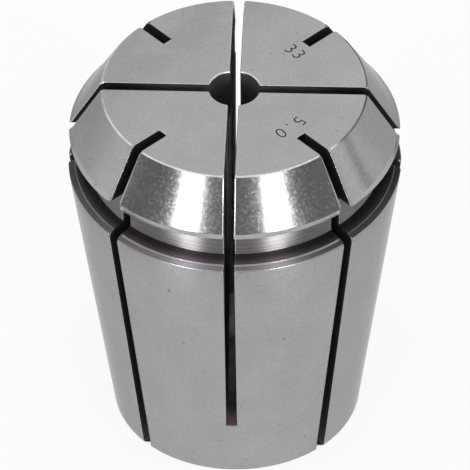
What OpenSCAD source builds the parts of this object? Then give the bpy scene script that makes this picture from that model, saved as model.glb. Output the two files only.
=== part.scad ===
// Tapping collet: one piece of spring steel, turned, bored and slotted, which closes
// on the round shank of a tap while a square socket keeps the tap from turning.
// It stands on its small rear end, with the front face up and the bore along Z.
// Lengths are in millimetres and angles in degrees.

/* [Overall] */
// Length from the rear end to the front face
collet_l = 40; // [36:0.5:50]
// Diameter at the gauge line, the widest part of the rear taper
gauge_d = 33; // [31:0.1:36]
// Angle between the rear taper and the axis
taper_a = 8; // [5:0.5:12]
// Bevel round the rear end
rear_break = 0.2; // [0.05:0.05:0.6]

/* [Front cone] */
// Diameter of the cone at its wide end
cone_d = 32.2; // [30:0.1:33]
// Length of the cone along the axis
cone_l = 5.1; // [3:0.1:7]
// Angle between the cone and the axis
cone_a = 30; // [20:1:40]
// Bevel where the cone meets the front face
rim_break = 0.12; // [0.05:0.01:0.4]

/* [Nut groove] */
// Diameter of the lip that the nut pulls on
lip_d = 32.8; // [32.2:0.1:33.6]
// Height of the bevel between the cone and the lip
lip_h = 0.3; // [0.1:0.05:0.8]
// Diameter of the floor of the groove
groove_d = 29.2; // [26:0.1:30]
// Width of the floor of the groove
groove_w = 3.55; // [2:0.05:5]
// Radius in the corners of the groove
groove_fillet = 0.15; // [0.05:0.05:0.6]
// Slope of the flank between the groove and the shoulder
flank_a = 14; // [5:1:25]
// Diameter of the crest at the outer end of the flank
crest_d = 31.7; // [31:0.1:32.2]
// Height of the step from the crest down to the shoulder
crest_step = 0.1; // [0.05:0.01:0.3]
// Slope of the shoulder between the crest and the gauge line
shoulder_a = 19; // [5:1:30]
// Bevel at the gauge line, where the shoulder meets the rear taper
gauge_break = 0.08; // [0.03:0.01:0.3]

/* [Bore and square] */
// Diameter of the bore that grips the shank
bore_d = 5; // [3:0.1:10]
// Depth of the bore from the front face
bore_l = 20; // [14:0.5:24]
// Bevel at the mouth of the bore
mouth_break = 0.15; // [0.05:0.05:0.5]
// Width across the flats of the square socket
square_w = 4; // [2.5:0.1:8]
// Length of the square socket behind the bore
square_l = 10; // [6:0.5:12]
// Diameter of the relief bore behind the square socket
relief_d = 9; // [6:0.1:12]

/* [Slots] */
// Number of slots cut from the front, and of slots cut from the rear between them
slot_n = 4; // [3:1:5]
// Width of every slot
slot_w = 1; // [0.5:0.05:1.5]
// Height on the rear taper at which the slots cut from the front end
front_slot_end = 6.9; // [4:0.1:12]
// Distance from the axis at which the slots cut from the rear end on the front face
rear_slot_end = 9.7; // [6:0.1:12]
// Diameter of the slitting saw that leaves the round slot ends
saw_d = 63; // [56:1:80]
// Distance from the collet's axis to the saw's axis at the end of a cut
saw_offset = 25; // [20:0.5:27]

/* [Hidden] */
$fn = 96;
steel = [0.66, 0.66, 0.67];
// Extra length by which a cut runs out of the body
runout = 1;

gauge_r = gauge_d / 2;
crest_r = crest_d / 2;
groove_r = groove_d / 2;
lip_r = lip_d / 2;
cone_r = cone_d / 2;
saw_r = saw_d / 2;
relief_l = collet_l - bore_l - square_l;

// Radii at the inner and outer end of the shoulder
shoulder_r = crest_r + crest_step / 2;
edge_r = gauge_r - gauge_break;

// Heights from the front face down
cone_z = collet_l - cone_l;
lip_z = cone_z - lip_h;
floor_z = lip_z - groove_w;
crest_z = floor_z - (crest_r - groove_r) * tan(flank_a);
shoulder_z = crest_z - crest_step;
// The shoulder drops from the crest to the gauge line, whichever of the two is wider
edge_z = shoulder_z - abs(edge_r - shoulder_r) * tan(shoulder_a);
gauge_z = edge_z - gauge_break;

// Radii that follow from the two tapers
face_r = cone_r - cone_l * tan(cone_a);
rear_r = gauge_r - gauge_z * tan(taper_a);
function taper_r(z) = rear_r + z * tan(taper_a);

// Height of the saw's rim above or below its centre, at a distance r from the collet's axis
function saw_rise(r) = sqrt(pow(saw_r, 2) - pow(saw_offset - r, 2));

// Half section of the turned blank before the groove is cut, from the axis outwards
module blank_outline() {
    polygon([
        [0, 0],
        [rear_r - rear_break, 0],
        [taper_r(rear_break), rear_break],
        [gauge_r, gauge_z],
        [edge_r, edge_z],
        [shoulder_r, shoulder_z],
        [crest_r, crest_z],
        [crest_r, lip_z],
        [lip_r, lip_z],
        [cone_r, cone_z],
        [face_r + rim_break * tan(cone_a), collet_l - rim_break],
        [face_r - rim_break, collet_l],
        [0, collet_l]
    ]);
}

// Round that is left in a corner of the groove, between its floor and a wall that drops
// outwards by a slope, and that touches both
module corner_fill(r, slope) {
    centre_z = r * (1 - sin(slope)) / cos(slope);
    touch = [r * (1 - sin(slope)), centre_z - r * cos(slope)];
    difference() {
        polygon([[-r, -r], [-r, centre_z], [r, centre_z], touch, [touch.x, -r]]);
        translate([r, centre_z]) circle(r);
    }
}

// Half section of what the grooving tool takes away, out past the crest
module groove_outline() {
    flank_run = crest_r + runout - groove_r;
    difference() {
        polygon([
            [groove_r, floor_z],
            [groove_r, lip_z],
            [groove_r + flank_run, lip_z],
            [groove_r + flank_run, crest_z],
            [crest_r, crest_z]
        ]);
        translate([groove_r, floor_z]) corner_fill(groove_fillet, flank_a);
        translate([groove_r, lip_z]) mirror([0, 1]) corner_fill(groove_fillet, 0);
    }
}

module blank() {
    difference() {
        rotate_extrude() blank_outline();
        rotate_extrude() groove_outline();
    }
}

// Round bore for the shank, with its bevelled mouth
module shank_bore() {
    translate([0, 0, collet_l - bore_l]) cylinder(h = bore_l + runout, d = bore_d);
    translate([0, 0, collet_l - mouth_break])
        cylinder(h = 2 * mouth_break, d1 = bore_d, d2 = bore_d + 4 * mouth_break);
}

// Socket for the square of the tap, whose corners lie in line with the rear slots
module square_socket() {
    translate([-square_w / 2, -square_w / 2, relief_l - runout])
        cube([square_w, square_w, square_l + 2 * runout]);
}

module relief_bore() {
    translate([0, 0, -runout]) cylinder(h = relief_l + runout, d = relief_d);
}

// Slot plate in the plane through the axis, drawn as its radial half section
module slot_plate() {
    rotate([90, 0, 0]) linear_extrude(slot_w, center = true) children();
}

// Path of the saw fed down from the front: its rim crosses the taper at the slot's end
module front_cut() {
    centre_z = front_slot_end + saw_rise(taper_r(front_slot_end));
    slot_plate() intersection() {
        union() {
            translate([saw_offset, centre_z]) circle(saw_r, $fn = 180);
            translate([saw_offset - saw_r, centre_z]) square([2 * saw_r, collet_l]);
        }
        square([gauge_r + runout, collet_l + runout]);
    }
}

// Path of the saw fed up from the rear: its rim crosses the front face at the slot's end
module rear_cut() {
    centre_z = collet_l - saw_rise(rear_slot_end);
    slot_plate() intersection() {
        union() {
            translate([saw_offset, centre_z]) circle(saw_r, $fn = 180);
            translate([saw_offset - saw_r, centre_z - collet_l]) square([2 * saw_r, collet_l]);
        }
        translate([0, -runout]) square([gauge_r + runout, collet_l + 2 * runout]);
    }
}

module slots() {
    pitch_a = 360 / slot_n;
    for (i = [0 : slot_n - 1]) {
        rotate(i * pitch_a) front_cut();
        rotate((i + 0.5) * pitch_a) rear_cut();
    }
}

module collet() {
    color(steel) difference() {
        blank();
        shank_bore();
        square_socket();
        relief_bore();
        slots();
    }
}

collet();
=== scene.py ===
"""Tapping collet: one slotted piece of ground spring steel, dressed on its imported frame."""

import math

import bmesh
import bpy
from mathutils import Matrix, Vector


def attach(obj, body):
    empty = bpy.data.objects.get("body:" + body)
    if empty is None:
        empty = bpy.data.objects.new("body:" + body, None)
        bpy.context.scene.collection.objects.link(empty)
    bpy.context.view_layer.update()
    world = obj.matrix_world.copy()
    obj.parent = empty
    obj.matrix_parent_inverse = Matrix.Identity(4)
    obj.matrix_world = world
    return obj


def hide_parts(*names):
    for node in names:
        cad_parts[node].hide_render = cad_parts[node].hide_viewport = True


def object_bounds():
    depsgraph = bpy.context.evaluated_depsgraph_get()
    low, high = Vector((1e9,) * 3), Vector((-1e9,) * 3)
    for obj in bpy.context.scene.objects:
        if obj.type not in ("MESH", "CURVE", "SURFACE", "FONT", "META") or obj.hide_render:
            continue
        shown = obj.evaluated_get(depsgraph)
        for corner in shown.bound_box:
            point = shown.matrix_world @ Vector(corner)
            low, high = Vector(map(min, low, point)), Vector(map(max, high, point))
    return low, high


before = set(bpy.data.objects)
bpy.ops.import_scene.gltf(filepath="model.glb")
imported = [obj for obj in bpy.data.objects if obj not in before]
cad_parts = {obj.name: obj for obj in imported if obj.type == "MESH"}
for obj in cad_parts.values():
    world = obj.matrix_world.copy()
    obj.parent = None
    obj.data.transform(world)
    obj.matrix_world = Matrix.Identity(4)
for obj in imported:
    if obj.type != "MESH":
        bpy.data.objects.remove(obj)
CAD_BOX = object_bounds()

bl_info = {
    "name": "Tapping Collet",
    "version": (1, 0, 0),
    "blender": (4, 5, 0),
    "location": "View3D > Sidebar > Collet",
    "description": "Models a slotted tapping collet and the studio that it is shown in",
    "category": "Add Mesh",
}

MM = 0.001
COLLET_LENGTH = CAD_BOX[1].z - CAD_BOX[0].z
IMAGE_PX = 470
PIECE = "collet_body"


def millimetres(name, description, value, low=0.0):
    """A length property whose default is given in millimetres."""
    return bpy.props.FloatProperty(
        name=name, description=description, default=value * MM, min=low,
        precision=5, subtype="DISTANCE", unit="LENGTH",
    )


def degrees(name, description, value):
    """An angle property whose default is given in degrees."""
    return bpy.props.FloatProperty(
        name=name, description=description, default=math.radians(value),
        subtype="ANGLE", unit="ROTATION",
    )


def colour(name, description, value):
    """A colour property with a default in linear light."""
    return bpy.props.FloatVectorProperty(
        name=name, description=description, default=value, size=3, min=0.0, max=1.0,
        subtype="COLOR",
    )


def number(name, description, value):
    """A plain number property."""
    return bpy.props.FloatProperty(name=name, description=description, default=value)


class ColletSizes(bpy.types.PropertyGroup):
    """Real sizes of the collet"""

    length: millimetres("Length", "From the rear end to the front face", COLLET_LENGTH / MM)
    gauge_diameter: millimetres("Gauge diameter", "Widest part of the rear taper", 33.0)
    taper_angle: degrees("Rear taper", "Angle between the rear taper and the axis", 8.0)
    rear_round: millimetres("Rear round", "Round of the rear end's rim", 0.2)
    cone_diameter: millimetres("Cone diameter", "Wide end of the front cone", 32.2)
    cone_length: millimetres("Cone length", "Length of the front cone along the axis", 5.1)
    cone_angle: degrees("Cone angle", "Angle between the front cone and the axis", 30.0)
    rim_round: millimetres("Rim round", "Round between the front face and the cone", 0.12)
    lip_diameter: millimetres("Lip diameter", "Lip that the nut pulls on", 32.8)
    lip_height: millimetres("Lip height", "Height of the bevel above the lip", 0.3)
    lip_round: millimetres("Lip round", "Round of the lip's lower edge", 0.03)
    groove_diameter: millimetres("Groove diameter", "Floor of the nut groove", 29.2)
    groove_width: millimetres("Groove width", "Width of the groove's floor", 3.55)
    groove_round: millimetres("Groove round", "Round in the groove's corners", 0.15)
    flank_angle: degrees("Flank slope", "Slope of the groove's lower flank", 14.0)
    crest_diameter: millimetres("Crest diameter", "Outer end of the flank", 31.7)
    crest_step: millimetres("Crest step", "Step from the crest down to the shoulder", 0.1)
    shoulder_angle: degrees("Shoulder slope", "Slope of the shoulder outside the crest", 19.0)
    gauge_round: millimetres("Gauge round", "Round where the shoulder meets the taper", 0.08)
    bore_diameter: millimetres("Bore", "Bore that grips the shank", 5.0)
    bore_length: millimetres("Bore depth", "Depth of the bore from the front face", 20.0)
    mouth_round: millimetres("Mouth round", "Round at the mouth of the bore", 0.15)
    square_width: millimetres("Square", "Width across the flats of the socket", 4.0)
    square_length: millimetres("Square length", "Length of the square socket", 10.0)
    relief_diameter: millimetres("Relief bore", "Bore behind the square socket", 9.0)
    slot_width: millimetres("Slot width", "Width of every slot", 1.0)
    slot_round: millimetres("Slot round", "Round of the slots' edges", 0.13)
    keen_round: millimetres("Keen round", "Round of the slots' edges that face forwards", 0.04)
    corner_cut: millimetres("Corner cut", "Depth taken off the corners beside the slots", 0.2)
    front_slot_end: millimetres("Front slot end", "Height of the front slots' end", 6.9)
    rear_slot_end: millimetres("Rear slot end", "Radius of the rear slots' end", 9.7)
    saw_diameter: millimetres("Saw diameter", "Saw that leaves the round slot ends", 63.0)
    saw_offset: millimetres("Saw offset", "Collet's axis to the saw's axis", 25.0)
    slot_count: bpy.props.IntProperty(
        name="Slots", description="Slots cut from the front, and as many from the rear",
        default=4, min=3, max=6,
    )
    number_height: millimetres("Number height", "Height of the etched numbers' type", 2.05)
    number_radius: millimetres("Number circle", "From the axis to the numbers' middle", 8.05)
    number_depth: millimetres("Number depth", "Depth of the etching", 0.03)
    number_thinning: millimetres("Number thinning", "Taken off each side of a stroke", 0.02)
    gauge_number: degrees("Gauge number", "Azimuth of the gauge number's first digit", 48.3)
    gauge_pitch: degrees("Gauge number pitch", "Turn from digit to digit", 8.3)
    bore_number: degrees("Bore number", "Azimuth of the bore number's first digit", -35.5)
    bore_pitch: degrees("Bore number pitch", "Turn from digit to digit", 9.0)


class ColletFinish(bpy.types.PropertyGroup):
    """Colours of the steel's finishes"""

    steel: colour("Ground steel", "Face, cone, lip and taper", (0.39, 0.39, 0.39))
    wall: colour("Groove wall", "Turned floor of the nut groove", (0.40, 0.383, 0.394))
    scale: colour("Hardening scale", "Dark scale on the groove's flank", (0.080, 0.078, 0.080))
    stain: colour("Stain", "Tint of the stain in front on flank and shoulder", (1.0, 0.74, 0.93))
    shoulder: colour("Shoulder", "Half cleaned shoulder by the crest", (0.28, 0.277, 0.28))
    sawn: colour("Sawn steel", "Slots and bores, blackened in hardening", (0.070, 0.066, 0.070))
    foot: colour("Slot foot", "Lower end of the front slot", (0.46, 0.31, 0.35))
    # Edge steel is paler than ground steel: deburred steel, and partly a painted highlight
    edge: colour("Edge steel", "Deburred edges", (0.70, 0.70, 0.70))
    etched: colour("Etched steel", "Numbers on the front face", (0.06, 0.06, 0.062))


class ColletStudio(bpy.types.PropertyGroup):
    """Camera and light, with azimuths counted from the front towards the right"""

    azimuth: degrees("Azimuth", "Camera's azimuth", 2.45)
    elevation: degrees("Elevation", "Camera's height above the horizon", 41.902)
    roll: degrees("Roll", "Camera's turn about its own line of sight", -0.516)
    distance: millimetres("Distance", "Camera to the middle of the collet", 2000.0)
    focal_px: number("Focal length", "Focal length in pixels of the square image", 20117.0)
    aim_x: number("Aim x", "Image column, in pixels, of the collet's middle", 235.62)
    aim_y: number("Aim y", "Image row, in pixels, of the collet's middle", 238.84)
    left_lamp: degrees("Left lamp", "Azimuth of the left front softbox", -29.15)
    right_lamp: degrees("Right lamp", "Azimuth of the right front softbox", 30.2)
    rear_lamps: degrees("Rear lamps", "Azimuth of the rear softboxes, on either side", 149.0)
    lamp_elevation: degrees("Lamp elevation", "Height of the softboxes above the horizon", 12.0)
    lamp_distance: millimetres("Lamp distance", "Softboxes to the collet's middle", 800.0)
    lamp_width: millimetres("Lamp width", "Width of each softbox", 154.0)
    lamp_height: millimetres("Lamp height", "Height of each softbox", 340.0)
    front_radiance: number("Front radiance", "Brightness of the front softboxes", 13.0)
    rear_radiance: number("Rear radiance", "Brightness of the rear softboxes", 1.0)


# Modelling helpers


def deselect_all():
    bpy.ops.object.select_all(action="DESELECT")


def activate(piece):
    deselect_all()
    piece.select_set(True)
    bpy.context.view_layer.objects.active = piece


def apply_place(piece):
    """Puts the piece's place, turn and scale into its mesh."""
    activate(piece)
    bpy.ops.object.transform_apply(location=True, rotation=True, scale=True)


def edit(piece, mode="VERT"):
    """Enters edit mode on the piece with nothing selected."""
    activate(piece)
    bpy.ops.object.mode_set(mode="EDIT")
    bpy.ops.mesh.select_mode(type=mode)
    bpy.ops.mesh.select_all(action="DESELECT")


def leave():
    bpy.ops.object.mode_set(mode="OBJECT")


def pick(piece, part, test):
    """Selects in edit mode the verts, edges or faces that pass a test."""
    mesh = bmesh.from_edit_mesh(piece.data)
    for item in getattr(mesh, part):
        item.select_set(test(item))
    mesh.select_flush_mode()
    bmesh.update_edit_mesh(piece.data)


def modify(piece, kind, **settings):
    """Adds a modifier, sets it and applies it."""
    activate(piece)
    modifier = piece.modifiers.new(kind.title(), kind)
    for key, value in settings.items():
        setattr(modifier, key, value)
    bpy.ops.object.modifier_apply(modifier=modifier.name)


def carve(piece, cutter, finish):
    """Cuts the cutter out of the piece, leaves its finish on the cut and removes the cutter."""
    cutter.data.materials.append(piece.data.materials[finish])
    modify(
        piece, "BOOLEAN", operation="DIFFERENCE", object=cutter, solver="EXACT",
        material_mode="TRANSFER",
    )
    bpy.data.objects.remove(cutter)


def join(pieces):
    """Joins pieces into the first one."""
    activate(pieces[0])
    for piece in pieces[1:]:
        piece.select_set(True)
    bpy.ops.object.join()
    return pieces[0]


def finish_faces(piece, finish, test):
    """Gives a finish to the faces that pass a test."""
    edit(piece, "FACE")
    pick(piece, "faces", test)
    piece.active_material_index = finish
    bpy.ops.object.material_slot_assign()
    leave()


def cylinder(radius, low, high, sides):
    """A cylinder on the Z axis whose sides' corners lie half a side off the X and Y axes."""
    deselect_all()
    bpy.ops.mesh.primitive_cylinder_add(
        vertices=sides, radius=radius, depth=high - low, end_fill_type="NGON",
        location=(0, 0, (low + high) / 2), rotation=(0, 0, math.pi / sides),
    )
    piece = bpy.context.object
    apply_place(piece)
    return piece


def box(size, place, scale=(1, 1, 1), turn=(0, 0, 0)):
    """A cube with its place, turn and scale in its mesh."""
    deselect_all()
    bpy.ops.mesh.primitive_cube_add(size=size, location=place, rotation=turn, scale=scale)
    piece = bpy.context.object
    apply_place(piece)
    return piece


# The collet's body

# Places of the finishes in the body's list of materials
GROUND, TURNED, SCALED, SAWN, EDGE, ETCHED = range(6)

# Places of the rings in the list of stations, from the rear end up
REAR, GAUGE, SHOULDER, CREST, FLOOR, CEILING, LIP, CONE, RIM = range(9)

# Ring, outward and upward slope, and share of the corner cut, of each corner beside a slot
CORNER_CUTS = ((RIM, 0.9, 1.5, 0.7), (LIP, 1.0, -0.2, 2.0), (GAUGE, 0.9, 0.6, 0.8))

# Sides of the round forms, and steps of a round and of the digits' curves
RIM_SIDES = 192
BORE_SIDES = 48
SAW_SIDES = 240
ROUND_STEPS = 3
TYPE_STEPS = 4

# How far a cut runs out of the body, and how near counts as on a ring, as on the outside and as
# the same point
RUNOUT = 1.0 * MM
NEAR = 0.03 * MM
SKIN = 0.3 * MM
MERGE = 0.001 * MM

# Angle between two faces past which their edge gets a round, and past which shading breaks
SHARP = math.radians(12)
SMOOTH = math.radians(40)

# Products of unit vectors that count as the same way, as roughly that way and as square
ALONG = 0.9
FACING = 0.5
SQUARE = 0.1

# Side of a cube that cuts a corner, as a share of the slot's width, so that no two cubes meet
CUBE_SHARE = 0.9
# Distance from the axis at which a slot's cut starts, as a share of the bore's diameter, so that
# it starts inside the bore and no two cuts meet
CUT_START = 0.3
# Widest round of a slot's edge, as a share of the edge's length
ROUND_SHARE = 0.2
# Share of its radius by which a place on the flank lies ahead of the axis to count as in front
IN_FRONT = 0.75


def stations(size):
    """Radius, height and round of each ring of the turned blank, from the rear end up."""
    cone_z = size.length - size.cone_length
    lip_z = cone_z - size.lip_height
    floor_z = lip_z - size.groove_width
    gauge_r = size.gauge_diameter / 2
    crest_r = size.crest_diameter / 2
    groove_r = size.groove_diameter / 2
    shoulder_r = crest_r + size.crest_step / 2
    crest_z = floor_z - (crest_r - groove_r) * math.tan(size.flank_angle)
    shoulder_z = crest_z - size.crest_step
    edge_r = gauge_r - size.gauge_round
    edge_z = shoulder_z - (edge_r - shoulder_r) * math.tan(size.shoulder_angle)
    gauge_z = edge_z - size.gauge_round / 2
    rear_r = gauge_r - gauge_z * math.tan(size.taper_angle)
    face_r = size.cone_diameter / 2 - size.cone_length * math.tan(size.cone_angle)
    return [
        (rear_r, 0.0, size.rear_round),
        (gauge_r, gauge_z, size.gauge_round),
        (shoulder_r, shoulder_z, size.gauge_round / 2),
        (crest_r, crest_z, size.gauge_round / 2),
        (groove_r, floor_z, size.groove_round),
        (groove_r, lip_z, size.groove_round),
        (size.lip_diameter / 2, lip_z, size.lip_round),
        (size.cone_diameter / 2, cone_z, size.gauge_round),
        (face_r, size.length, size.rim_round),
    ]


def turn_blank(size):
    """Turns the blank: a cylinder whose top face is drawn up and resized from ring to ring."""
    rings = stations(size)
    radius, height = rings[REAR][0], rings[GAUGE][1]
    blank = cylinder(radius, 0.0, height, RIM_SIDES)
    blank.name = PIECE
    edit(blank, "FACE")

    def is_top(face):
        return face.normal.z > ALONG and abs(face.calc_center_median().z - height) < MERGE

    for ring, (next_r, next_z, _) in enumerate(rings[GAUGE:], GAUGE):
        pick(blank, "faces", is_top)
        if ring != GAUGE:
            rise = (0, 0, next_z - height)
            bpy.ops.mesh.extrude_region_move(TRANSFORM_OT_translate={"value": rise})
        ratio = next_r / radius
        bpy.ops.transform.resize(value=(ratio, ratio, 1), center_override=(0, 0, next_z))
        radius, height = next_r, next_z
    leave()
    return blank


def drill(blank, size):
    """Bores the blank from both ends and sinks the square socket between."""
    relief_z = size.length - size.bore_length - size.square_length
    bore_z = size.length - size.bore_length
    bore = cylinder(size.bore_diameter / 2, bore_z, size.length + RUNOUT, BORE_SIDES)
    carve(blank, bore, SAWN)
    relief = cylinder(size.relief_diameter / 2, -RUNOUT, relief_z, BORE_SIDES)
    carve(blank, relief, SAWN)
    sides = (size.square_width, size.square_width, size.square_length + RUNOUT)
    carve(blank, box(1, (0, 0, (bore_z + relief_z) / 2), scale=sides), SAWN)


def saw_path(size, centre_z, feed):
    """What the saw sweeps in one cut: its disc, drawn out along the feed, outside the bore."""
    radius = size.saw_diameter / 2
    deselect_all()
    bpy.ops.mesh.primitive_cylinder_add(
        vertices=SAW_SIDES, radius=radius, depth=size.slot_width, end_fill_type="NGON",
        location=(size.saw_offset, 0, centre_z), rotation=(math.pi / 2, 0, 0),
    )
    path = bpy.context.object
    apply_place(path)
    edit(path)
    sign = math.copysign(1, feed)
    pick(path, "verts", lambda v: (v.co.z - centre_z) * sign > -MERGE)
    bpy.ops.transform.translate(value=(0, 0, feed))
    bpy.ops.mesh.select_all(action="SELECT")
    start = (size.bore_diameter * CUT_START, 0, 0)
    bpy.ops.mesh.bisect(plane_co=start, plane_no=(1, 0, 0), use_fill=True, clear_inner=True)
    leave()
    return path


def turned_copies(piece, count, start):
    """Copies of the piece spaced evenly round the Z axis, joined into one."""
    copies = []
    for i in range(count):
        activate(piece)
        bpy.ops.object.duplicate()
        copy = bpy.context.object
        copy.rotation_euler = (0, 0, start + i * math.tau / count)
        apply_place(copy)
        copies.append(copy)
    bpy.data.objects.remove(piece)
    return join(copies)


def saw_rise(size, radius):
    """Height of the saw's rim off its centre, at a distance from the collet's axis."""
    return math.sqrt((size.saw_diameter / 2) ** 2 - (size.saw_offset - radius) ** 2)


def slit(blank, size):
    """Saws the slots from the front and, between them, from the rear."""
    rear_r = stations(size)[REAR][0]
    end_r = rear_r + size.front_slot_end * math.tan(size.taper_angle)
    front_z = size.front_slot_end + saw_rise(size, end_r)
    rear_z = size.length - saw_rise(size, size.rear_slot_end)
    half_pitch = math.pi / size.slot_count
    for centre_z, feed, start in ((front_z, size.length, 0.0), (rear_z, -size.length, half_pitch)):
        path = saw_path(size, centre_z, feed)
        carve(blank, turned_copies(path, size.slot_count, start), SAWN)


def break_corners(blank, size):
    """Cuts the corners that the slots leave on the front rim, the lip and the gauge line."""
    rings = stations(size)
    side = CUBE_SHARE * size.slot_width
    half_pitch = math.pi / size.slot_count
    for hand in (1, -1):
        cubes = []
        for i in range(2 * size.slot_count):
            turn = Matrix.Rotation(i * half_pitch, 3, "Z")
            segment = (turn @ Vector((1, hand * math.tan(half_pitch / 2), 0))).normalized()
            from_front, faces_front = i % 2 == 0, segment.y < -ALONG
            for ring, out, up, share in CORNER_CUTS:
                if ring == LIP and (from_front or not faces_front):
                    continue
                corner = Vector((rings[ring][0], hand * size.slot_width / 2, rings[ring][1]))
                away = Vector((out, -hand, up)).normalized()
                middle = turn @ (corner + away * (side / 2 - share * size.corner_cut))
                tilt = (turn @ away).to_track_quat("Z", "Y").to_euler()
                cubes.append(box(side, middle, turn=tilt))
        carve(blank, join(cubes), GROUND)


def tidy_mesh(piece):
    """Merges doubles and points the faces outwards."""
    edit(piece)
    bpy.ops.mesh.select_all(action="SELECT")
    bpy.ops.mesh.remove_doubles(threshold=MERGE)
    bpy.ops.mesh.normals_make_consistent(inside=False)
    leave()


def weigh_edges(blank, size):
    """Gives each corner of the body its round, as a share of the widest one, and returns that."""
    rings = stations(size)
    lip_z = rings[CEILING][1]
    rings.append((size.bore_diameter / 2, size.length, size.mouth_round))
    widest = max(ring[2] for ring in rings)

    def is_keen(edge, ends):
        """Whether an edge beside a slot faces forwards or ends the lip."""
        walls = [face.normal for face in edge.link_faces if face.material_index == SAWN]
        if any(abs(normal.z) < SQUARE and normal.y < -FACING for normal in walls):
            return True
        return all(r > size.cone_diameter / 2 - NEAR and z > lip_z - NEAR for r, z in ends)

    def round_of(edge):
        """Round of the ring that the edge lies on, or else of the slot beside it."""
        ends = [(v.co.xy.length, v.co.z) for v in edge.verts]
        for radius, height, width in rings:
            if all(abs(r - radius) < NEAR and abs(z - height) < NEAR for r, z in ends):
                return width
        width = size.keen_round if is_keen(edge, ends) else size.slot_round
        return min(width, edge.calc_length() * ROUND_SHARE)

    def weight_of(edge):
        """Share of the widest round, or None where the surface has no corner."""
        if len(edge.link_faces) != 2 or edge.calc_face_angle(0.0) <= SHARP:
            return None
        return round(round_of(edge) / widest, 2)

    edit(blank, "EDGE")
    mesh = bmesh.from_edit_mesh(blank.data)
    weights = {weight_of(edge) for edge in mesh.edges} - {None}
    for weight in sorted(weights):
        pick(blank, "edges", lambda e: weight_of(e) == weight)
        bpy.ops.transform.edge_bevelweight(value=weight)
    leave()
    return widest


def break_edges(blank, size):
    """Rounds every corner and leaves the bright finish, partly a painted highlight, on the outer
    ones.
    """
    widest = weigh_edges(blank, size)
    modify(
        blank, "BEVEL", width=widest, segments=ROUND_STEPS, limit_method="WEIGHT",
        offset_type="OFFSET", use_clamp_overlap=False, miter_outer="MITER_ARC", material=EDGE,
    )
    rings = stations(size)
    inner_r = size.groove_diameter / 2
    gauge_z, floor_z, lip_z = (rings[ring][1] for ring in (GAUGE, FLOOR, CEILING))

    def outline(height):
        """Radius of the blank at a height, without its groove."""
        for (r0, z0, _), (r1, z1, _) in zip(rings, rings[1:]):
            if z0 <= height <= z1:
                return max(r0 + (r1 - r0) * (height - z0) / (z1 - z0 or 1.0), inner_r)
        return rings[RIM][0]

    def finish_of(face):
        """Finish that belongs on a face, by its place and by whether it rounds an edge."""
        place, finish = face.calc_center_median(), face.material_index
        if finish not in (GROUND, EDGE):
            return finish
        rounded, radius = finish == EDGE, place.xy.length
        near_end = min(place.z, size.length - place.z) < SKIN
        if rounded and not near_end and radius < outline(place.z) - SKIN:
            return SAWN
        across = Vector((-place.y, place.x, 0)).normalized()
        turned = abs(face.normal.dot(across)) < SQUARE
        if floor_z - SKIN < place.z < lip_z - NEAR and radius < inner_r + SKIN:
            dark = rounded and place.z < floor_z + size.groove_round / 2
            return SCALED if dark else TURNED
        # Below the groove, rounds on rings that face the front keep ground steel as a painted
        # highlight, and all else is dark scale
        if gauge_z + NEAR < place.z < floor_z:
            in_front = place.y < -IN_FRONT * radius
            return GROUND if rounded and turned and in_front else SCALED
        # Elsewhere the bright finish, partly a painted highlight, stays only on the rounds at the
        # front face and on the front slots' edges above the lip
        if rounded and turned and place.z < size.length - SKIN:
            return GROUND
        pitches = math.atan2(place.y, place.x) * size.slot_count / math.tau
        at_rear_slot = abs(pitches - round(pitches)) > 1 / 4
        if rounded and not turned and (place.z < lip_z or at_rear_slot):
            return GROUND
        return finish

    edit(blank, "FACE")
    wanted = [finish_of(face) for face in bmesh.from_edit_mesh(blank.data).faces]
    leave()
    for finish in (GROUND, TURNED, SCALED, SAWN):
        finish_faces(blank, finish, lambda f: wanted[f.index] == finish)


def etch(blank, size, text, start, pitch):
    """Etches a number into the front face, its digits set clockwise with their tops outwards."""
    for i, character in enumerate(text):
        azimuth = start - i * pitch
        place = size.number_radius * Vector((math.cos(azimuth), math.sin(azimuth), 0))
        place.z = size.length
        deselect_all()
        bpy.ops.object.text_add(location=place, rotation=(0, 0, azimuth - math.pi / 2))
        digit = bpy.context.object
        digit.data.body = character
        digit.data.size = size.number_height
        digit.data.extrude = size.number_depth
        digit.data.offset = -size.number_thinning
        digit.data.resolution_u = TYPE_STEPS
        digit.data.align_x, digit.data.align_y = "CENTER", "CENTER"
        bpy.ops.object.convert(target="MESH")
        digit = bpy.context.object
        apply_place(digit)
        tidy_mesh(digit)
        carve(blank, digit, ETCHED)


def even_shading(blank):
    """Shades the body smooth, sharp at the etching and even on its broad faces."""
    activate(blank)
    bpy.ops.object.shade_smooth_by_angle(angle=SMOOTH)
    modify(blank, "WEIGHTED_NORMAL", mode="FACE_AREA", weight=90, keep_sharp=True)


# Materials

WHITE = (1.0, 1.0, 1.0)

# Sockets of the ground and turned finishes: darker at a glance, and, where a tool has left
# rings, with reflections spread up and down across them
GLANCING = {"Specular_Tint": (0.7, 0.7, 0.7)}
RINGED = {"Anisotropic": 1.0, "Anisotropic_Rotation": 0.25, **GLANCING}


class Sock:
    """A node socket on which arithmetic adds Math nodes."""

    def __init__(self, shader, socket):
        self.shader = shader
        self.socket = socket

    def _math(self, operation, other=None, swap=False):
        values = [self] if other is None else ([other, self] if swap else [self, other])
        return self.shader.node("ShaderNodeMath", {"operation": operation}, values)

    def __add__(self, other):
        return self._math("ADD", other)

    __radd__ = __add__

    def __sub__(self, other):
        return self._math("SUBTRACT", other)

    def __rsub__(self, other):
        return self._math("SUBTRACT", other, swap=True)

    def __mul__(self, other):
        return self._math("MULTIPLY", other)

    __rmul__ = __mul__

    def __truediv__(self, other):
        return self._math("DIVIDE", other)

    def __abs__(self):
        return self._math("ABSOLUTE")


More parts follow.
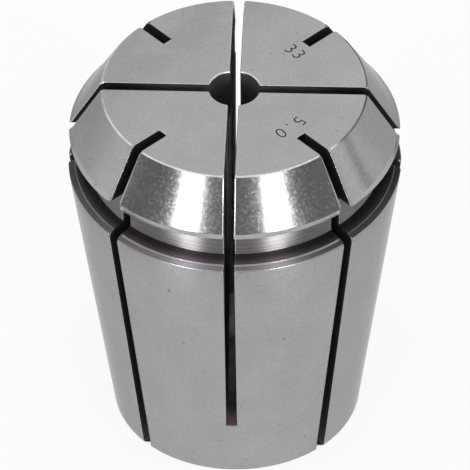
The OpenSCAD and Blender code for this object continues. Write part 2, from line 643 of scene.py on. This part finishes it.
class Shader:
    """A node tree that is built by expressions."""

    def __init__(self, tree):
        self.tree = tree
        tree.nodes.clear()

    def node(self, kind, settings=None, values=None, output=0):
        """Adds a node, sets it, fills or links its sockets and returns one of its outputs."""
        made = self.tree.nodes.new(kind)
        for key, value in (settings or {}).items():
            setattr(made, key, value)
        pairs = values.items() if isinstance(values, dict) else enumerate(values or [])
        for key, value in pairs:
            if isinstance(value, Sock):
                self.tree.links.new(value.socket, made.inputs[key])
            else:
                made.inputs[key].default_value = value
        return Sock(self, made.outputs[output]) if len(made.outputs) else made

    def vector(self, operation, values, output=0):
        """Arithmetic on vectors and colours."""
        return self.node("ShaderNodeVectorMath", {"operation": operation}, values, output)

    def split(self, vector):
        """The three parts of a vector."""
        first = self.node("ShaderNodeSeparateXYZ", {}, [vector])
        return [Sock(self, part) for part in first.socket.node.outputs]

    def mix(self, factor, low, high):
        """Mixes two colours."""
        values = {0: factor, 6: opaque(low), 7: opaque(high)}
        return self.node("ShaderNodeMix", {"data_type": "RGBA"}, values, output=2)

    def shade(self, tone, tint):
        """A colour times a number."""
        return self.vector("SCALE", {0: tint, 3: tone})

    def smooth(self, value, low, high, start=0.0, end=1.0):
        """Runs smoothly from start to end as the value goes from low to high."""
        settings = {"interpolation_type": "SMOOTHSTEP"}
        return self.node("ShaderNodeMapRange", settings, [value, low, high, start, end])

    def noise(self, vector, scale, detail=2.0, roughness=0.5):
        """Noise all over a piece."""
        values = {"Vector": vector, "Scale": scale, "Detail": detail, "Roughness": roughness}
        return self.node("ShaderNodeTexNoise", {}, values)

    def lines(self, value, scale, detail=2.0):
        """Noise along one line."""
        values = {"W": value, "Scale": scale, "Detail": detail}
        return self.node("ShaderNodeTexNoise", {"noise_dimensions": "1D"}, values)

    def path(self, ray):
        """Whether the ray is of a kind."""
        return self.node("ShaderNodeLightPath", output=ray)

    def metal(self, **values):
        """Ends the tree in a metal surface."""
        sockets = {key.replace("_", " "): opaque(value) for key, value in values.items()}
        surface = self.node("ShaderNodeBsdfPrincipled", {}, {"Metallic": 1.0, **sockets})
        self.node("ShaderNodeOutputMaterial", {}, {"Surface": surface})

    def millimetres(self):
        """Place on a piece in millimetres."""
        return self.vector("SCALE", {0: self.node("ShaderNodeTexCoord", output=3), 3: 1 / MM})

    def off_axis(self, place):
        """Distance of a place from the Z axis."""
        flat = self.vector("MULTIPLY", [place, (1.0, 1.0, 0.0)])
        return self.vector("LENGTH", [flat], output=1)


def opaque(value):
    """A colour with its alpha, or a socket or number as it is."""
    return (*value, 1.0) if isinstance(value, tuple) and len(value) == 3 else value


def new_material(name):
    material = bpy.data.materials.new(name)
    material.use_nodes = True
    return material, Shader(material.node_tree)


def ground_steel(finish):
    """Ground steel with faint lines, clouds, a fine speckle and a few pits."""
    material, shader = new_material("ground_steel")
    place = shader.millimetres()
    side, ahead, height = shader.split(place)
    radius = shader.off_axis(place)
    clouds = shader.noise(place, 0.22, detail=3.0, roughness=0.6)
    grain = shader.noise(place, 2.8, detail=4.0, roughness=0.75)
    speckle = shader.noise(place, 3.6, detail=3.0, roughness=0.6)
    lines = shader.lines(height - radius, 5.0, detail=3.0)
    pits = shader.smooth(shader.noise(place, 1.6, detail=0.0), 0.84, 0.86)
    back_left = shader.smooth(ahead - side, 4.0, 12.0)
    tarnish = back_left * shader.smooth(clouds, 0.35, 0.6)
    tone = 0.685 + 0.25 * clouds + 0.32 * grain + 0.06 * lines - 0.3 * pits - 0.16 * tarnish
    rough = 0.14 + 0.04 * clouds + 0.02 * lines + 0.10 * shader.smooth(speckle, 0.4, 0.74)
    relief = {"Strength": 1.0, "Distance": 0.002 * MM, "Height": speckle}
    shader.metal(
        Base_Color=shader.shade(tone, tuple(finish.steel)), Roughness=rough,
        Normal=shader.node("ShaderNodeBump", {}, relief), **GLANCING,
    )
    return material


def turned_steel(finish):
    """Turned steel of the groove's wall, whose rings wander a little."""
    material, shader = new_material("turned_steel")
    place = shader.millimetres()
    _, _, height = shader.split(place)
    patches = shader.noise(place, 0.7, detail=3.0)
    turned = shader.lines(height + 0.3 * patches, 5.0, detail=4.0)
    tone = 0.35 + 0.4 * patches + 0.9 * turned
    shader.metal(
        Base_Color=shader.shade(tone, tuple(finish.wall)), Roughness=0.34 + 0.06 * turned,
        **RINGED,
    )
    return material


def scaled_steel(size, finish):
    """Dark scale on the flank, which thins outwards, and the half cleaned shoulder, both stained,
    with a painted sheen in front and painted shade on the right.
    """
    material, shader = new_material("scaled_steel")
    place = shader.millimetres()
    side, ahead, _ = shader.split(place)
    radius = shader.off_axis(place)
    rings = stations(size)
    floor_r, crest_r, shoulder_r = (rings[ring][0] / MM for ring in (FLOOR, CREST, SHOULDER))
    patches = shader.noise(place, 0.35, detail=3.0)
    turned = shader.lines(radius + 0.3 * patches, 8.0, detail=3.0)

    # Painted light: the scale and the shoulder are painted paler in front as a painted sheen, and
    # darker on the right as painted shade
    front = shader.smooth(ahead, -9.0, -15.0)
    right = shader.smooth(side, 2.0, 12.0)
    outwards = shader.smooth(radius, floor_r + 0.4, shoulder_r - 0.1, 0.8, 2.2)
    scale_and_sheen = outwards * (0.58 + 0.42 * front) * (1 - 0.35 * right)
    # The shoulder's painted sheen in front and painted shade on the right
    cleaned = (0.66 + 0.74 * front) * (1 - 0.45 * right)
    outside = shader.smooth(radius, shoulder_r - 0.05, shoulder_r + 0.05)
    scale = shader.shade(scale_and_sheen, tuple(finish.scale))
    tint = shader.mix(outside, scale, shader.shade(cleaned, tuple(finish.shoulder)))

    # The crest is painted bright steel, partly wear and partly a painted highlight, dimmer on the
    # right as painted shade, and a patchy stain lies over all of it in front
    crest = shader.smooth(abs(radius - crest_r), 0.09, 0.02)
    tint = shader.mix(crest * (1 - 0.5 * right), tint, tuple(finish.steel))
    stained = shader.smooth(patches, 0.35, 0.65, 0.2, 1.0) * (1 - 0.55 * outside)
    stained = stained * shader.smooth(ahead, -9.0, -14.0)
    tint = shader.mix(stained, tint, shader.vector("MULTIPLY", [tint, tuple(finish.stain)]))
    tone = 0.15 + 0.4 * patches + 1.3 * turned
    shader.metal(Base_Color=shader.shade(tone, tint), Roughness=0.5 + 0.1 * turned, **RINGED)
    return material


def sawn_steel(size, finish):
    """Dull black of the slots and bores, in patches and faint saw marks, with painted light that
    makes it paler inside.
    """
    material, shader = new_material("sawn_steel")
    place = shader.millimetres()
    side, ahead, height = shader.split(place)
    radius = shader.off_axis(place)
    top, foot_z = size.length / MM, size.front_slot_end / MM
    bore_r, half_slot = size.bore_diameter / 2 / MM, size.slot_width / 2 / MM
    patches = shader.noise(place, 0.9, detail=3.0)
    marks = shader.lines(height, 4.0)

    # Painted light: deep between the segments, in the bore below its mouth, and in the upper part
    # of the slot in front the black is painted paler
    painted_light_deep = shader.smooth(radius, bore_r + 0.2, bore_r + 1.5)
    painted_light_deep = painted_light_deep * shader.smooth(radius, 13.0, 7.0)
    painted_light_deep = painted_light_deep * shader.smooth(height, top - 0.5, top - 4.0)
    painted_light_bore = shader.smooth(radius, bore_r + 3.0, bore_r + 2.0)
    painted_light_bore = painted_light_bore * shader.smooth(height, top - 5.0, top - 7.0)
    slot = shader.smooth(abs(side), half_slot + 0.3, half_slot + 0.1)
    front = slot * shader.smooth(ahead, -3.0, -5.0)
    front = front * shader.smooth(height, 22.0, 27.0)
    front = front * shader.smooth(height, top - 0.2, top - 2.5)
    # Painted light: the tone runs paler towards the axis and is raised where the painted light
    # masks above lie
    tone = shader.smooth(radius, 5.0, 12.0, 0.7, 0.17) * (1 + 7.0 * front + 10.0 * painted_light_bore)
    tone = tone + (3.6 + 3.0 * front) * painted_light_deep
    tone = tone * (0.5 + 0.6 * patches + 0.4 * marks)

    # The slot's lower end in front is tinted
    foot = slot * shader.smooth(ahead, -9.0, -10.0)
    foot = foot * shader.smooth(height, foot_z + 1.0, foot_z)
    tint = shader.mix(foot, tuple(finish.sawn), tuple(finish.foot))
    shader.metal(
        Base_Color=shader.shade(tone, tint), Metallic=0.0, Roughness=0.6 + 0.1 * marks,
        Specular_IOR_Level=0.15,
    )
    return material


def bright_edge(size, finish):
    """Bright steel of the deburred edges, paler in part as a painted highlight, uneven and duller
    on the right of the front rim as painted shade.
    """
    material, shader = new_material("bright_edge")
    place = shader.millimetres()
    side, ahead, _ = shader.split(place)
    radius = shader.off_axis(place)
    rim_r = stations(size)[RIM][0] / MM
    uneven = shader.noise(place, 1.2, detail=2.0)
    # Painted shade: the front rim's painted highlight is duller on the right
    right = shader.smooth(side, 9.9, 11.0) * shader.smooth(ahead, -9.0, -7.5)
    dull = right * shader.smooth(radius, rim_r - 0.35, rim_r - 0.15)
    tone = (0.7 + 0.5 * uneven) * (1 - 0.75 * dull)
    tint = shader.shade(tone, tuple(finish.edge))
    shader.metal(Base_Color=tint, Roughness=0.2 + 0.1 * uneven)
    return material


def etched_steel(finish):
    """Dark matt bottom of the etching."""
    material, shader = new_material("etched_steel")
    uneven = shader.noise(shader.millimetres(), 6.0, detail=1.0)
    tint = shader.shade(0.6 + 0.8 * uneven, tuple(finish.etched))
    shader.metal(Base_Color=tint, Roughness=0.5 + 0.1 * uneven)
    return material


class COLLET_OT_body(bpy.types.Operator):
    """Turn, drill and slit the collet's body"""

    bl_idname = "collet.body"
    bl_label = "Collet Body"

    def execute(self, context):
        size, finish = context.scene.collet_sizes, context.scene.collet_finish
        blank = turn_blank(size)
        for material in (
            ground_steel(finish), turned_steel(finish), scaled_steel(size, finish),
            sawn_steel(size, finish), bright_edge(size, finish), etched_steel(finish),
        ):
            blank.data.materials.append(material)
        drill(blank, size)
        slit(blank, size)
        break_corners(blank, size)
        tidy_mesh(blank)
        break_edges(blank, size)
        even_shading(blank)
        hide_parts("collet")
        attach(blank, "root")
        return {"FINISHED"}


class COLLET_OT_numbers(bpy.types.Operator):
    """Etch the gauge diameter and the bore into the front face as plain numbers"""

    bl_idname = "collet.numbers"
    bl_label = "Size Numbers"

    def execute(self, context):
        size = context.scene.collet_sizes
        blank = bpy.data.objects[PIECE]
        gauge, bore = size.gauge_diameter / MM, size.bore_diameter / MM
        etch(blank, size, f"{gauge:.0f}", size.gauge_number, size.gauge_pitch)
        etch(blank, size, f"{bore:.1f}", size.bore_number, size.bore_pitch)
        even_shading(blank)
        return {"FINISHED"}


# The studio

# The floor's colour and its side in metres, and the width of the camera's sensor
PAPER = (0.82, 0.82, 0.82)
FLOOR_SIDE = 4.0
SENSOR_MM = 36.0


def heading(azimuth, elevation):
    """Direction of an azimuth, counted from the front towards the right, and an elevation."""
    flat = math.cos(elevation)
    return Vector((math.sin(azimuth) * flat, -math.cos(azimuth) * flat, math.sin(elevation)))


def camera_axes(studio):
    """Right, up and back axes of the camera."""
    back = heading(studio.azimuth, studio.elevation)
    right = Vector((math.cos(studio.azimuth), math.sin(studio.azimuth), 0))
    up = back.cross(right)
    turn = Matrix.Rotation(studio.roll, 3, back)
    return turn @ right, turn @ up, back


def place_camera(studio, middle):
    """Sets the camera so that the collet's middle falls on the aimed pixel."""
    right, up, back = camera_axes(studio)
    pixel = studio.distance / studio.focal_px
    centre = IMAGE_PX / 2
    aim = middle + right * (centre - studio.aim_x) * pixel + up * (studio.aim_y - centre) * pixel
    place = aim + back * studio.distance
    deselect_all()
    bpy.ops.object.camera_add(location=place)
    camera = bpy.context.object
    turn = Matrix((right, up, back)).transposed()
    camera.matrix_world = Matrix.Translation(place) @ turn.to_4x4()
    camera.data.sensor_width = SENSOR_MM
    camera.data.lens = studio.focal_px / IMAGE_PX * SENSOR_MM
    bpy.context.scene.camera = camera


def softbox(studio, name, azimuth, radiance, target):
    """An area lamp that faces the target and that the camera doesn't see."""
    back = heading(azimuth, studio.lamp_elevation)
    place = target + studio.lamp_distance * back
    deselect_all()
    turn = back.to_track_quat("Z", "Y").to_euler()
    bpy.ops.object.light_add(type="AREA", location=place, rotation=turn)
    lamp = bpy.context.object
    lamp.name = name + "_softbox"
    lamp.data.shape = "RECTANGLE"
    lamp.data.size, lamp.data.size_y = studio.lamp_width, studio.lamp_height
    lamp.data.energy = radiance * studio.lamp_width * studio.lamp_height * math.pi
    lamp.visible_camera = False


def floor_material():
    """Pale floor that is white to the camera, shows reflections a painted pattern of paler and
    darker floor with glowing pools, keeps the shadow and has a painted shadow under the collet.
    """
    material, shader = new_material("studio_floor")
    camera, glossy, transmission = (
        shader.path(ray) for ray in ("Is Camera Ray", "Is Glossy Ray", "Is Transmission Ray")
    )
    place = shader.millimetres()
    side, ahead, _ = shader.split(place)
    radius = shader.off_axis(place)

    # Painted reflection, which only reflections see: paper paler near the collet, a darker ring
    # round it that is open behind, and a glowing painted pool of light on either side in front
    pale = shader.smooth(radius, 30.0, 140.0, 0.92, 0.76)
    ring = shader.smooth(radius, 37.0, 42.0) * shader.smooth(radius, 110.0, 90.0)
    ring = ring * shader.smooth(ahead, 40.0, 22.0)
    slant = abs(side) / (0 - ahead)
    painted_light_pools = shader.smooth(slant, 0.28, 0.50) * shader.smooth(slant, 1.05, 0.80)
    painted_light_pools = painted_light_pools * shader.smooth(ahead, -25.0, -35.0)
    dim = shader.smooth(ahead, 12.0, -12.0, 0.05, 0.25)
    painted_reflection = pale * (1 - ring) + ring * (dim + 2.2 * painted_light_pools)

    # Painted shadow: the paper under the collet's foot is painted dark and gets no glow, so that
    # its dark inside shows through the slots
    painted_shadow = shader.smooth(radius, 12.25, 12.05) * shader.smooth(ahead, -8.45, -8.15)
    shaded = shader.shade(1 - 0.96 * painted_shadow, PAPER)
    paper = shader.node("ShaderNodeBsdfDiffuse", {}, {"Color": shaded})
    light = {"Color": opaque(WHITE), "Strength": camera + glossy * painted_reflection + transmission}
    glow = shader.node("ShaderNodeEmission", {}, light)
    glowing = 0.85 * camera * (1 - painted_shadow) + glossy + transmission
    surface = shader.node("ShaderNodeMixShader", {}, [glowing, paper, glow])
    shader.node("ShaderNodeOutputMaterial", {}, {"Surface": surface})
    return material


def light_world(scene):
    """White all round, with dark belts, flags and a streak that only reflections see."""
    world = bpy.data.worlds.new("studio")
    scene.world = world
    world.use_nodes = True
    shader = Shader(world.node_tree)
    side, ahead, above = shader.split(shader.node("ShaderNodeTexCoord", output=0))
    lifted = shader.smooth(above, 0.0, 0.04)
    behind = shader.smooth(ahead, 0.52, 0.62)

    # A belt above the floor in front and behind, and flags over it behind on either side
    belt = lifted * shader.smooth(above, 0.54, 0.44)
    belts = belt * (shader.smooth(ahead, -0.17, -0.26) + behind)
    flags = shader.smooth(above, 0.68, 0.60) * behind * shader.smooth(abs(side), 0.18, 0.28)
    flags = (1 - belt) * flags * lifted

    # A soft streak low on the right
    streak = shader.smooth(abs(ahead - 0.11), 0.09, 0.0) * shader.smooth(side, 0.5, 0.8)
    streak = streak * shader.smooth(abs(above), 0.3, 0.1)
    dark = (0.79 * (belts + flags) + 0.8 * streak) * shader.path("Is Glossy Ray")
    light = {"Color": opaque(WHITE), "Strength": 1 - dark}
    around = shader.node("ShaderNodeBackground", {}, light)
    shader.node("ShaderNodeOutputWorld", {}, {"Surface": around})


class COLLET_OT_stage(bpy.types.Operator):
    """Set up the floor, the lamps, the white surround and the camera"""

    bl_idname = "collet.stage"
    bl_label = "Studio"

    def execute(self, context):
        scene = context.scene
        studio = scene.collet_studio
        middle = (CAD_BOX[0] + CAD_BOX[1]) / 2
        deselect_all()
        bpy.ops.mesh.primitive_plane_add(size=FLOOR_SIDE, location=(0, 0, 0))
        floor = context.object
        floor.name = "studio_floor"
        floor.data.materials.append(floor_material())
        for name, azimuth, radiance in (
            ("left", studio.left_lamp, studio.front_radiance),
            ("right", studio.right_lamp, studio.front_radiance),
            ("back_left", -studio.rear_lamps, studio.rear_radiance),
            ("back_right", studio.rear_lamps, studio.rear_radiance),
        ):
            softbox(studio, name, azimuth, radiance, middle)
        light_world(scene)
        place_camera(studio, middle)
        scene.view_settings.view_transform = "Standard"
        return {"FINISHED"}


class COLLET_PT_panel(bpy.types.Panel):
    """Lists the collet's sizes, finish and steps"""

    bl_label = "Tapping Collet"
    bl_idname = "COLLET_PT_panel"
    bl_space_type = "VIEW_3D"
    bl_region_type = "UI"
    bl_category = "Collet"

    def draw(self, context):
        for name in GROUPS:
            settings = getattr(context.scene, name)
            column = self.layout.column(align=True)
            for key in settings.__annotations__:
                column.prop(settings, key)
        for step in STEPS:
            self.layout.operator(step.bl_idname)


GROUPS = {
    "collet_sizes": ColletSizes, "collet_finish": ColletFinish, "collet_studio": ColletStudio,
}
STEPS = (COLLET_OT_body, COLLET_OT_numbers, COLLET_OT_stage)


def register():
    for group in (*GROUPS.values(), *STEPS, COLLET_PT_panel):
        bpy.utils.register_class(group)
    for key, group in GROUPS.items():
        setattr(bpy.types.Scene, key, bpy.props.PointerProperty(type=group))


def unregister():
    for key in GROUPS:
        delattr(bpy.types.Scene, key)
    for group in (COLLET_PT_panel, *reversed(STEPS), *GROUPS.values()):
        bpy.utils.unregister_class(group)


def main():
    register()
    bpy.ops.collet.body()
    bpy.ops.collet.numbers()
    bpy.ops.collet.stage()


if __name__ == "__main__":
    main()
